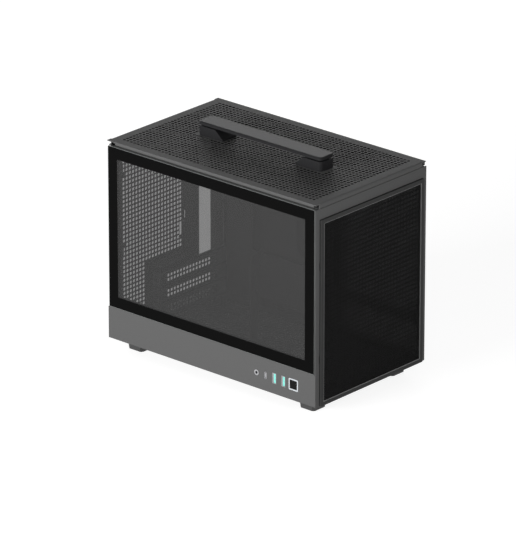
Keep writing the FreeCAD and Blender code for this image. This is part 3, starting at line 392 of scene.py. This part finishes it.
small_tab_y = (high[1] - 4.4, high[1] - 3.6)
floor_parts.append(punched(small_tab, [], "xz", small_tab_y))
make_piece("punched_floor", floor_parts, "chassis", painted_shade_coat, "black_painted_steel", "floor_panel")


# Rear wall: one steel sheet with a field of rounded square holes, slots for a
# 120 mm fan and the opening for the recess. Folds along the top and both sides
# stiffen it, and the one behind the glass has a notch to lift the panel by.
def every_pair(u, v):
    """Centres where two lists of lines cross: each u with each v."""
    grid_u, grid_v = np.meshgrid(u, v, indexing="ij")
    return np.column_stack([grid_u.ravel(), grid_v.ravel()])


# Charcoal polyester powder, baked on: it gives the eye an even dark grey with a
# faint grain of half a millimetre, and soft, wide highlights along the folds.
powder_coat = new_finish("powder_coated_steel", "#545454", 0.6, grain=0.6, grain_depth=0.2, mottle=0.12,
                         **{"Specular IOR Level": 0.025})

rear, inner_rear = -168.25, -167.45
bottom, top = 14.8, 264.8
glass_flange_y, closed_flange_y = (-95.5, -94.7), (97.6, 98.4)
flange_bottom, flange_top, flange_reach = 56.4, 263.7, 15
lip_low, lip_high, lip_depth = 262.9, 264.4, 10
notch_y, notch_x = -91.0, rear + 5
notch_z = (220.4, 214.3, 175.5, 171.2)
glass_side, closed_side = glass_flange_y[0], closed_flange_y[1]
rear_outline = np.array([(glass_side, bottom), (closed_side, bottom), (closed_side, top), (84.5, top),
                         (84.5, 258.5), (83.0, 256.0), (79.0, 256.0), (78.0, 257.5), (78.0, top),
                         (glass_side, top), (glass_side, notch_z[0]), (notch_y, notch_z[1]),
                         (notch_y, notch_z[2]), (glass_side, notch_z[3])])
recess_outline = np.array([(-33.6, 25.6), (85.4, 25.6), (85.4, 254.0),
                           (34.8, 254.0), (34.8, 91.2), (-33.6, 91.2)])

# The field is 18 holes wide above the recess's step and 7 below it. One more
# column of holes stands at its edge, where the fan's slots leave room.
lowest_row, edge_column = 98.3, 30.0
columns = -71.5 + pitch * np.arange(18)
rows = lowest_row + pitch * np.arange(26)
lower_columns, lower_rows = columns[:7], lowest_row - pitch * np.arange(1, 13)
fan_y, fan_z, fan_screw, slot_room = -22.5, 172.6, 52.5, 11
slot_y, slot_z = (fan_y - fan_screw, fan_y + fan_screw), (fan_z - fan_screw, fan_z + fan_screw)
edge_holes = [(edge_column, z) for z in rows if all(abs(z - slot) > slot_room for slot in slot_z)]
vent_hole, fan_slot = square_hole(4.1, 4.1, 1.0), square_hole(4.3, 17.5, 0.6)
rear_holes = [ring(every_pair(columns, rows), vent_hole),
              ring(every_pair(lower_columns, lower_rows), vent_hole),
              ring(edge_holes, vent_hole), ring(every_pair(slot_y, slot_z), fan_slot)]
rear_parts = [punched(rear_outline, rear_holes, "yz", (rear, inner_rear), [recess_outline])]
lip_path = [(rear + half, lip_low), (rear + half, lip_high), (rear + lip_depth, lip_high)]
rear_parts.append(fold(lip_path, "xz", (-89.0, 78.0)))
stud_low, stud_high = limits("glass_studs")
stud_radius = 1.5
stud_x = (stud_low[0] + stud_radius, stud_high[0] - stud_radius)
stud_z = (stud_low[2] + stud_radius, stud_high[2] - stud_radius)
stud_hole, screw_hole, screw_z = round_hole(6.6, 16), round_hole(3.6, 12), (240.3, 84.0)
glass_flange = np.array([(rear + sheet, flange_bottom), (rear + flange_reach, flange_bottom),
                         (rear + flange_reach, flange_top), (rear + sheet, flange_top),
                         (rear + sheet, notch_z[0]), (notch_x, notch_z[1]), (notch_x, notch_z[2]),
                         (rear + sheet, notch_z[3])])
glass_flange_holes = [ring([(stud_x[0], z) for z in stud_z], stud_hole),
                      ring([(stud_x[0] + 2, z) for z in screw_z], screw_hole)]
rear_parts.append(punched(glass_flange, glass_flange_holes, "xz", glass_flange_y))
tab_low, tab_high = limits("side_panel_tabs")
tab_half = 4
tab_z = (tab_low[2] + tab_half, tab_high[2] - tab_half)
closed_flange = np.array([(rear + sheet, 25.4), (rear + flange_reach, 25.4), (rear + flange_reach, 255.8),
                          (rear + 13.2, 260.0), (rear + 9, 261.8), (rear + sheet, 261.8)])
closed_flange_holes = [ring([(rear + 7.5, z) for z in tab_z], square_hole(3.6, 8.6, 0.4)),
                       ring([(rear + 8, 250)], round_hole(3.4, 12))]
rear_parts.append(punched(closed_flange, closed_flange_holes, "xz", closed_flange_y))
make_piece("punched_rear_wall", rear_parts, "chassis", powder_coat, "black_painted_steel", "rear_wall")


# Recess behind the rear wall: a shell of folded steel, spot welded in, drawn near
# black as painted shade, with the tall opening for the board's ports and three card slots. A rolled rim,
# drawn light grey as a painted highlight, runs round the port opening, and two rivets show in the shell's wall.
low, high = limits("io_slot_bracket")
plate = high[0]
shell_y, step_z = 34.0, 92.0
plate_outline = np.array([(low[1], low[2]), (high[1], low[2]), (high[1], high[2]), (shell_y, high[2]),
                          (shell_y, step_z), (low[1], step_z)])
port_opening = rectangle((36.05, 80.5), (89.8, 248.55))
card_slots = ring([(25.6, z) for z in (76.4, 56.08, 35.76)], square_hole(96.0, 12.6, 0.8))
depth = (low[0], plate - sheet)
slit_x, pin_x = low[0] + 2.8, low[0] + 1.6
slits = ring([(slit_x, 211.3), (slit_x, 138.3)], square_hole(1.7, 10.5, 0.5))
pin_holes = ring([(pin_x, 202.8), (pin_x, 129.5)], round_hole(1.5))
recess_parts = [
    punched(plate_outline, [card_slots], "yz", (plate - sheet, plate), [port_opening]),
    punched(rectangle(depth, (step_z, high[2])), [slits, pin_holes], "xz", (shell_y, shell_y + sheet)),
    punched(rectangle(depth, (low[2], step_z)), [], "xz", (low[1], low[1] + sheet)),
    punched(rectangle(depth, (low[2], high[2])), [], "xz", (high[1] - sheet, high[1])),
    punched(rectangle(depth, (shell_y + sheet, high[1] - sheet)), [], "xy", (high[2] - sheet, high[2])),
    punched(rectangle(depth, (low[1] + sheet, high[1] - sheet)), [], "xy", (low[2], low[2] + sheet)),
    punched(rectangle(depth, (low[1] + sheet, shell_y)), [], "xy", (step_z - sheet, step_z))]
make_piece("pressed_recess", recess_parts, "chassis", painted_shade_coat, "black_painted_steel", "io_slot_bracket")

# Painted highlight: the same powder drawn light grey on rims, the slot covers and small
# brackets, standing for light that falls on them: lighter grey lines against the black.
painted_light_coat = new_finish("painted_light_grey_coat", "#8A8A8A", 0.55, grain=0.6, grain_depth=0.2, mottle=0.1,
                       **{"Specular IOR Level": 0.15})
port_rim_height, slot_rim_height = 0.9, 0.5
port_rim = rectangle((35.2, 81.4), (88.9, 249.4))
slot_rim = rectangle((-34.6, -33.4), (low[2] + 1, step_z - 1))
rim_parts = [punched(port_rim, [], "yz", (plate, plate + port_rim_height), [port_opening]),
             punched(slot_rim, [], "yz", (plate, plate + slot_rim_height))]
make_piece("rolled_rim", rim_parts, "chassis", painted_light_coat, "black_painted_steel")

# Black oxide on steel: small dark heads with a dim, narrow shine.
black_oxide = new_finish("black_oxide_screw", "#1C1C1C", 0.35, metallic=0.6, grain=0.3, grain_depth=0.15,
                         mottle=0.2)
rivet_height = 0.5
rivet_rings = ring([(low[0] + 5.1, 245.7), (low[0] + 7.8, 101.3)], round_hole(4.6, 12))
rivets = [punched(head, [], "xz", (shell_y - rivet_height, shell_y)) for head in rivet_rings]
make_piece("recess_rivets", rivets, "chassis", black_oxide, "black_screws")


def dress(finish, *names):
    """Gives a finish to solids of the frame that keep their own shape."""
    for name in names:
        solids[name].data.materials.clear()
        solids[name].data.materials.append(finish)


# The slot covers' blades are drawn light grey as painted light.
blade_end, tab_screw = -34.4, 5.7
blade_columns = -19.5 + pitch * np.arange(16)
for name in ("slot_cover_1", "slot_cover_2", "slot_cover_3"):
    low, high = limits(name)
    z = (low[2] + high[2]) / 2
    blade_holes = ring(every_pair(blade_columns, (z - pitch / 2, z + pitch / 2)), square_hole(3.9, 3.9, 0.7))
    tab_hole = ring([(high[0] - tab_screw, z)], round_hole(2.4))
    blade = rectangle((blade_end, high[1]), (low[2], high[2]))
    tab = rectangle((low[0], high[0]), (low[2], high[2]))
    parts = [punched(blade, [blade_holes], "yz", (high[0] - sheet, high[0])),
             punched(tab, [tab_hole], "xz", (low[1], low[1] + sheet))]
    make_piece("perforated_" + name, parts, "chassis", painted_light_coat, "black_painted_steel", name)
dress(black_oxide, "slot_cover_screws")


# Front panel: a steel sheet with the same rounded square holes over almost its
# whole face and four slots for the front filter's hooks. A lip is folded in
# along its top, and a flange behind the glass takes the ball studs.
front, inner_front, panel_y = 165.25, 164.45, (-100, 100)
clip_y, clip_shares = (-92.45, 92.45), (0.25, 0.75)
clip_low, clip_high = limits("front_filter_frame")
clip_z = [clip_low[2] + share * (clip_high[2] - clip_low[2]) for share in clip_shares]
front_field = lattice((-83, 86), (29.8, 248.8), pitch)
front_holes = [ring(front_field, square_hole(4.4, 4.4, 1.0)),
               ring(every_pair(clip_y, clip_z), square_hole(2.4, 10, 0.3))]
flange_x = (front - 16, inner_front - sheet)
front_flange = rectangle(flange_x, (flange_bottom, flange_top))
front_flange_holes = [ring([(stud_x[1], z) for z in stud_z], stud_hole),
                      ring([(front - 11.5, z) for z in screw_z], screw_hole),
                      ring([(front - 11.4, 233.0)], round_hole(4.6, 12)),
                      ring([(front - 10.4, 205.7)], square_hole(3.4, 18.0, 1.0))]
crease = rectangle(flange_x, (251.6, 252.4))
doubling = rectangle((glass_side, -90.0), (flange_bottom, flange_top))
lip_path = [(front - half, lip_low), (front - half, lip_high), (front - lip_depth, lip_high)]
front_parts = [punched(rectangle(panel_y, (bottom, top)), front_holes, "yz", (inner_front, front)),
               fold(lip_path, "xz", (-92.8, 92.8)),
               punched(front_flange, front_flange_holes, "xz", glass_flange_y),
               punched(crease, [], "xz", (-95.8, glass_side)),
               punched(doubling, [], "yz", (inner_front - sheet, inner_front))]
make_piece("punched_front", front_parts, "chassis", powder_coat, "black_painted_steel", "front_panel")


# Port strip: a steel strip below the glass, folded along its edges and coated
# with the other sheets, with punched openings for the sockets and the button.
dress(powder_coat, "io_strip")


# Tray for the board, with the bar under it and the rail along the top: flat
# coated steel sheets. The tray's window is folded back all round, and four
# turned standoffs carry the board.
tray_face, hem_face, hem_back = 86.2, 85.7, 89.0
window = rectangle((-100.75, -9.15), (92.7, 233.2))
hem_outside = rectangle((-101.7, -8.2), (91.75, 234.15))
hem_inside = rectangle((-100.1, -9.8), (93.35, 232.55))
hem_parts = [punched(hem_outside, [], "xz", (hem_face, tray_face), [window]),
             punched(window, [], "xz", (tray_face, hem_back), [hem_inside])]
make_piece("folded_window_edge", hem_parts, "chassis", powder_coat, "black_painted_steel")
dress(powder_coat, "motherboard_tray", "tray_bar", "top_rail")

# Black zinc plate on turned steel: a dark metal with a soft shine on each post.
black_zinc = new_finish("black_zinc_standoff", "#1E1E1E", 0.4, metallic=0.5, grain=0.3, grain_depth=0.1,
                        mottle=0.2)
dress(black_zinc, "motherboard_standoffs")


# Drive plate and card support: a steel plate hung from the top rail, with the
# holes of a small drive, drawn near black as painted shade, and an upright bracket screwed down on the floor,
# drawn light grey as painted light.
dress(painted_shade_coat, "drive_plate")
dress(painted_light_coat, "card_support_bracket")
dress(black_oxide, "card_support_screws")


# Ports: a small circuit board on four posts behind the strip, with plated
# sockets, teal tongues in two of them and a switch. A clear ring round the
# polished button lets the board's light out.

# Moulded black ABS: almost black, with a fine grain and a weak, broad shine.
black_abs = new_finish("moulded_black_abs", "#111111", 0.5, grain=0.5, grain_depth=0.2, mottle=0.15,
                       **{"Specular IOR Level": 0.2})
dress(black_abs, "io_board_posts", "power_switch")

# Solder mask over glass fibre: near black and half glossy, with the fibre's
# weave showing faintly.
solder_mask = new_finish("circuit_board", "#0E1210", 0.4, grain=1.2, grain_depth=0.1, mottle=0.3)
dress(solder_mask, "io_board")

# Nickel plate on pressed steel: a bright, clean metal that shows the white room.
nickel = new_finish("plated_socket_steel", "#ADADB0", 0.3, metallic=1.0, grain=0.4, grain_depth=0.05,
                    mottle=0.06)
dress(nickel, "usb_a_port_rear", "usb_a_port_front", "usb_c_port", "audio_jack")

# Moulded teal plastic: the one colour on the case, even and half matt.
teal = new_finish("teal_moulded_plastic", "#6FC8BC", 0.45, grain=0.4, grain_depth=0.05, mottle=0.08)
tongue_start, tongue_end, tongue_proud = 1.7, 4.6, 0.6
for name in ("usb_a_tongue_rear", "usb_a_tongue_front"):
    low, high = limits(name)
    face = rectangle((low[0] + tongue_start, low[0] + tongue_end), (low[2], high[2]))
    tongue = punched(face, [], "xz", (low[1] - tongue_proud, high[1]))
    make_piece("broad_" + name, [tongue], "chassis", teal, "teal_plastic", name)

# The small socket's tongue and a strip of contacts in each of the large ones.
contact_face, contact_width, contact_z = -99.6, 1.4, (29.4, 41.2)
low, high = limits("usb_c_port")
small_tongue = rectangle((low[0] + 1.0, high[0] - 1.0), (low[2] + 1.6, high[2] - 1.6))
contacts = [punched(small_tongue, [], "xz", (contact_face, -92.0))]
for x in (98.3, 112.6):
    contacts.append(punched(rectangle((x, x + contact_width), contact_z), [], "xz", (contact_face, -90.0)))
make_piece("plated_contacts", contacts, "chassis", nickel, "port_steel")

# Clear moulded acrylic over white light: a pale grey ring with a clean edge.
light_guide = new_finish("clear_light_guide", "#B4B8BC", 0.3, grain=0.6, grain_depth=0.05, mottle=0.05)
dress(light_guide, "power_ring")

# Polished black plastic: the blackest face on the case, with a tight, weak shine.
polished = new_finish("polished_button", "#080808", 0.3, grain=0.8, grain_depth=0.05, mottle=0.2,
                      **{"Specular IOR Level": 0.1})
dress(polished, "power_button")


# Glass panel: 4 mm tempered glass with a black ceramic border printed on it and
# a ground rim. Four turned steel ball studs bonded behind its corners snap into
# moulded sockets in the flanges.
def bordered_glass(border, ground_rim):
    """Glass that light comes through, a printed border so many mm wide that stops it, and a ground rim: how
    far in from the panel's nearest edge a point lies picks which, so the border is an even frame."""
    low, high = limits("glass_panel")
    finish = new_finish("tempered_glass", "#303030", 0.06, **{"Specular IOR Level": 0.03})
    tree = finish.node_tree
    shader = tree.nodes["Principled BSDF"]
    axes = add(tree, "SeparateXYZ", {0: add(tree, "TexCoord").outputs["Object"]})

    def near_edge(width):
        """1 less than so many mm from the panel's edge along X or Z, and 0 further in."""
        masks = []
        for axis in (0, 2):
            centre, reach = (low[axis] + high[axis]) / 2 * MM, (high[axis] - low[axis]) / 2 * MM
            offset = add(tree, "Math", {0: axes.outputs[axis], 1: centre}, operation="SUBTRACT")
            away = add(tree, "Math", {0: offset.outputs[0]}, operation="ABSOLUTE")
            past = add(tree, "Math", {0: away.outputs[0], 1: reach - width * MM}, operation="GREATER_THAN")
            masks.append(past.outputs[0])
        return add(tree, "Math", {0: masks[0], 1: masks[1]}, operation="MAXIMUM").outputs[0]

    printed = near_edge(border)
    face = add(tree, "Mix", {0: printed, 6: linear("#3E3E3E"), 7: linear("#060606")}, data_type="RGBA")
    rimmed = {0: near_edge(ground_rim), 6: face.outputs[2], 7: linear("#6C6E6D")}
    colour = add(tree, "Mix", rimmed, data_type="RGBA")
    solid = add(tree, "MapRange", {"Value": printed, "To Min": 0.6, "To Max": 1.0})
    tree.links.new(colour.outputs[2], shader.inputs["Base Color"])
    tree.links.new(solid.outputs[0], shader.inputs["Alpha"])
    return finish


# Smoke-tinted tempered glass: a smooth grey veil with the inside dim behind it,
# framed in dense black, and with a thin pale line along its cut edges.
dress(bordered_glass(border=15.0, ground_rim=0.5), "glass_panel")

# Turned steel: a grey metal with a narrow shine along each small stud.
turned_steel = new_finish("turned_steel", "#8C8C8E", 0.3, metallic=1.0, grain=0.3, grain_depth=0.08, mottle=0.1)
dress(turned_steel, "glass_studs")
dress(black_abs, "glass_stud_sockets")


# Side panel: one steel sheet folded in along its top and front edges, with a
# field of very fine staggered holes for the power supply's air and a latch
# cut-out in the front fold. Four tabs hook it into the chassis.
side_y, middle_y, folded_y = (99.2, 100.0), 99.6, 95.4
fine_pitch, fold_start = 2.9, 2.4
latch_middle, latch_half = bottom + 212, 7
front_fold_low, front_fold_high = 25.4, 233.2
low, high = limits("side_panel")
side_top, side_front = high[2], high[0]
fine_field = lattice((40, 152), (24, 252), fine_pitch, staggered=True)
fine_holes = ring(fine_field, round_hole(1.9, 6))
side_flat = rectangle((low[0], side_front), (low[2], side_top - sheet))
side_parts = [punched(side_flat, [fine_holes], "xz", side_y)]
top_path = [(middle_y, side_top - fold_start), (middle_y, side_top - half), (folded_y, side_top - half)]
side_parts.append(fold(top_path, "yz", (low[0] + 15, side_front - 1.6)))
front_path = [(side_front - fold_start, middle_y), (side_front - half, middle_y), (side_front - half, folded_y)]
for span in ((front_fold_low, latch_middle - latch_half), (latch_middle + latch_half, front_fold_high)):
    side_parts.append(fold(front_path, "xy", span))
make_piece("punched_side_panel", side_parts, "side_panel", powder_coat, "black_painted_steel", "side_panel")
dress(powder_coat, "side_panel_tabs")


# Dust filters: woven nylon mesh, heat-set into thin moulded frames that fit on
# to the top, the floor and the front of the case.
thread_step, thread_contrast = 1.2, 0.25


def woven_mesh(name, colour, axes, cover):
    """Weave: the product of two sine waves along the sheet's own axes shades it by the threads' contrast up
    and down, and the threads cover a share of it."""
    finish = new_finish(name, colour, 0.75, **{"Specular IOR Level": 0.1, "Alpha": cover})
    tree = finish.node_tree
    shader = tree.nodes["Principled BSDF"]
    split = add(tree, "SeparateXYZ", {0: add(tree, "TexCoord").outputs["Object"]})
    waves = []
    for axis in axes:
        turns = {0: split.outputs[axis], 1: 2 * math.pi / (thread_step * MM)}
        phase = add(tree, "Math", turns, operation="MULTIPLY")
        waves.append(add(tree, "Math", {0: phase.outputs[0]}, operation="SINE").outputs[0])
    crossing = add(tree, "Math", {0: waves[0], 1: waves[1]}, operation="MULTIPLY")
    shade = add(tree, "MapRange", {"Value": crossing.outputs[0], "From Min": -1.0, "From Max": 1.0})
    base = np.array(linear(colour)[:3])
    dark, light = (*(base * (1 - thread_contrast)), 1), (*(base * (1 + thread_contrast)), 1)
    blend = add(tree, "Mix", {0: shade.outputs[0], 6: dark, 7: light}, data_type="RGBA")
    tree.links.new(blend.outputs[2], shader.inputs["Base Color"])
    return finish


# Black nylon thread: a flat, even veil that greys what lies behind it. The top and bottom
# filters are drawn a lighter grey as painted light from above; the front filter keeps the thread's near-black.
# The real weave is too fine to show, so its threads are drawn 1.2 mm apart.
dress(woven_mesh("woven_nylon_painted_lit", "#3C3C3C", (0, 1), 0.7), "top_filter_mesh", "bottom_filter_mesh")
dress(woven_mesh("woven_nylon_upright", "#101010", (1, 2), 0.78), "front_filter_mesh")

# Moulded dark grey ABS: a matt frame, a little darker than the coated steel.
grey_abs = new_finish("moulded_grey_abs", "#363636", 0.55, grain=0.5, grain_depth=0.2, mottle=0.12,
                      **{"Specular IOR Level": 0.05})
dress(grey_abs, "top_filter_frame", "front_filter_frame", "bottom_filter_frame")

# A thin lip stands round the front filter's mesh, drawn light grey as a painted highlight along the frame's
# inner edge.
lip_width, lip_height = 0.35, 1.2
low, high = limits("front_filter_mesh")
lip_inside = rectangle((low[1] + lip_width, high[1] - lip_width), (low[2] + lip_width, high[2] - lip_width))
lip_outside = rectangle((low[1], high[1]), (low[2], high[2]))
mesh_lip = punched(lip_outside, [], "yz", (high[0], high[0] + lip_height), [lip_inside])
make_piece("front_mesh_lip", [mesh_lip], "front_filter", painted_light_coat, "black_plastic")


# Top cover: a 1 mm steel sheet with rows of round holes. Its ends fold down on
# to the chassis, its long sides carry skirts with rounded ends that drop inside
# the walls, and moulded catches under it hold it.
low, high = limits("top_cover")
cover_x, cover_y, cover_top = (low[0], high[0]), (low[1], high[1]), high[2]
cover_sheet, cover_half = 1.0, 0.5
plain_border = 13
field = lattice((cover_x[0] + plain_border, cover_x[1] - plain_border),
                (cover_y[0] + plain_border, cover_y[1] - plain_border), pitch)
block_limits = [limits(name) for name in ("handle_block_rear", "handle_block_front")]
block_y, block_room = (-14.7, 14.7), 2
block_boxes = [(first[0] - block_room, last[0] + block_room, *block_y) for first, last in block_limits]
cover_holes = ring(outside(field, block_boxes), round_vent)
flat_inset, end_depth, end_lift, corner_y = 1.8, 1.9, 8, 92.9
cover_z = (cover_top - cover_sheet, cover_top)
cover_flat = rectangle((cover_x[0] + flat_inset, cover_x[1] - flat_inset), cover_y)
cover_parts = [punched(cover_flat, [cover_holes], "xy", cover_z)]
for end, inwards in ((cover_x[0], 1), (cover_x[1], -1)):
    middle, skin = end + inwards * cover_half, cover_top - cover_half
    end_path = [(middle, low[2] + end_lift), (middle, skin), (end + inwards * end_depth, skin)]
    cover_parts.append(fold(end_path, "xz", (-corner_y, corner_y), cover_sheet))
for x in ((cover_x[0], cover_x[0] + end_depth), (cover_x[1] - end_depth, cover_x[1])):
    for y in ((cover_y[0], -corner_y), (corner_y, cover_y[1])):
        cover_parts.append(punched(rectangle(x, y), [], "xy", cover_z))

# A skirt's lower corners are quarter circles: the radius times one less the
# sine, and one less the cosine, of six even angles. A hole stands in each end.
skirt_x, skirt_top = (cover_x[0] + 8, cover_x[1] - 8), cover_top - cover_half
corner, hole_in, hole_up = 4.0, 5, 4.6
angle = np.linspace(0, math.pi / 2, 6)
out, up = corner * (1 - np.sin(angle)), low[2] + corner * (1 - np.cos(angle))
skirt = np.vstack([np.column_stack([skirt_x[0] + out[::-1], up[::-1]]),
                   np.column_stack([skirt_x[1] - out, up]),
                   [(skirt_x[1], skirt_top), (skirt_x[0], skirt_top)]])
hole_places = [(skirt_x[0] + hole_in, low[2] + hole_up), (skirt_x[1] - hole_in, low[2] + hole_up)]
skirt_holes = ring(hole_places, round_hole(5.2, 16))
for y in ((-94.2, -93.2), (93.2, 94.2)):
    cover_parts.append(punched(skirt, [skirt_holes], "xz", y))
make_piece("punched_top_cover", cover_parts, "top_cover", powder_coat, "black_painted_steel", "top_cover")
dress(black_abs, "cover_catches")


# Handle: a flat aluminium bar on two end blocks, with a shadow gap between bar
# and block, screwed down through the cover.

# Black anodised aluminium: a dense, even black with a soft grey sheen on top.
anodised = new_finish("black_anodised_aluminium", "#222223", 0.5, grain=0.3, grain_depth=0.1,
                      **{"Specular IOR Level": 0.05})
dress(anodised, "handle_bar", "handle_block_rear", "handle_block_front")
dress(black_oxide, "handle_screws")


# Feet: four hollow moulded blocks, whose pegs go through the bottom filter into
# the floor, with a soft pad let into each.

# Moulded black ABS with a coarser grain: dark grey, with a soft shine on edges.
foot_abs = new_finish("moulded_foot", "#333333", 0.5, grain=0.6, grain_depth=0.2, **{"Specular IOR Level": 0.3})
dress(foot_abs, "foot_rear_left", "foot_rear_right", "foot_front_left", "foot_front_right")

# Soft rubber: flat black and rough, with no shine.
rubber = new_finish("soft_rubber", "#141414", 0.8, grain=0.8, grain_depth=0.3, mottle=0.25)
dress(rubber, "foot_pads")
